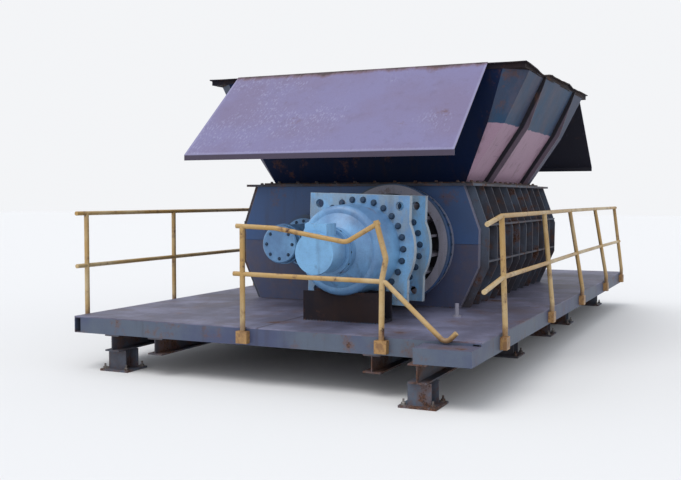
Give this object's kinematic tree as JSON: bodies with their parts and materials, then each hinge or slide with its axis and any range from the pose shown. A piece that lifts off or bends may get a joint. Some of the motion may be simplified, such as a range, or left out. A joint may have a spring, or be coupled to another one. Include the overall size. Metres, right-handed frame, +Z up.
{
  "type": "double shaft shredder",
  "caption": "Stationary double shaft shredder with interleaved hooked cutter discs, a flared feed hopper with sloping roofs over the two end drives, on a low steel platform with handrails",
  "frame": {"origin": "centre of the machine's plan on the floor, under its feet", "axes": "+Z up, +Y along the rotors away from the end whose drive turns the right rotor, +X across the rotors to the right"},
  "size_m": [4.22, 8.4, 3.06],
  "materials": {
    "deck_edge_paint": "worn blue-grey paint",
    "deck_plate_primer": "mauve primer rubbed to rust",
    "rail_yellow": "worn yellow paint",
    "box_paint": "dark grey-blue paint over brown rust",
    "cutter_steel": "worn hard steel with rust",
    "shaft_steel": "turned steel",
    "drive_paint": "light blue-teal machine enamel",
    "ring_steel": "dusty grey-blue paint",
    "saddle_primer": "brown primer",
    "hopper_paint": "grey-green paint above pinkish brown primer",
    "roof_primer": "mauve primer with streaks"
  },
  "bodies": {
    "frame": {"bearings_front": "box_paint", "bearings_rear": "box_paint", "box_cover_plates": "box_paint", "comb_left": "cutter_steel", "comb_right": "cutter_steel", "cross_beams": "deck_edge_paint", "deck_plates": "deck_plate_primer", "drive_flanges_front": "drive_paint", "drive_flanges_rear": "drive_paint", "drive_ring_front": "ring_steel", "drive_ring_rear": "ring_steel", "edge_channels": "deck_edge_paint", "end_wall_front": "box_paint", "end_wall_rear": "box_paint", "feet": "deck_edge_paint", "gearbox_front": "drive_paint", "gearbox_rear": "drive_paint", "hopper_feet": "hopper_paint", "hopper_rim": "hopper_paint", "hopper_wall_front": "hopper_paint", "hopper_wall_left": "hopper_paint", "hopper_wall_rear": "hopper_paint", "hopper_wall_right": "hopper_paint", "landings": "deck_edge_paint", "main_beams": "deck_edge_paint", "motor_front": "drive_paint", "motor_rear": "drive_paint", "rail_front": "rail_yellow", "rail_left": "rail_yellow", "rail_rear": "rail_yellow", "rail_right": "rail_yellow", "roof_front": "roof_primer", "roof_rear": "roof_primer", "saddle_front": "saddle_primer", "saddle_rear": "saddle_primer", "side_wall_left": "box_paint", "side_wall_right": "box_paint", "tail_front": "drive_paint", "tail_rear": "drive_paint"},
    "rotor_right": {"rotor_right_shaft": "shaft_steel", "rotor_right_cutters": "cutter_steel", "rotor_right_spacers": "cutter_steel"},
    "rotor_left": {"rotor_left_shaft": "shaft_steel", "rotor_left_cutters": "cutter_steel", "rotor_left_spacers": "cutter_steel"}
  },
  "joints": [
    {"name": "rotor_right_spin", "type": "hinge", "parent": "frame", "child": "rotor_right", "pos_m": [0.52, 0, 1.19], "axis": [0, 1, 0], "continuous": true},
    {"name": "rotor_left_spin", "type": "hinge", "parent": "frame", "child": "rotor_left", "pos_m": [-0.52, 0, 1.19], "axis": [0, 1, 0], "continuous": true}
  ]
}
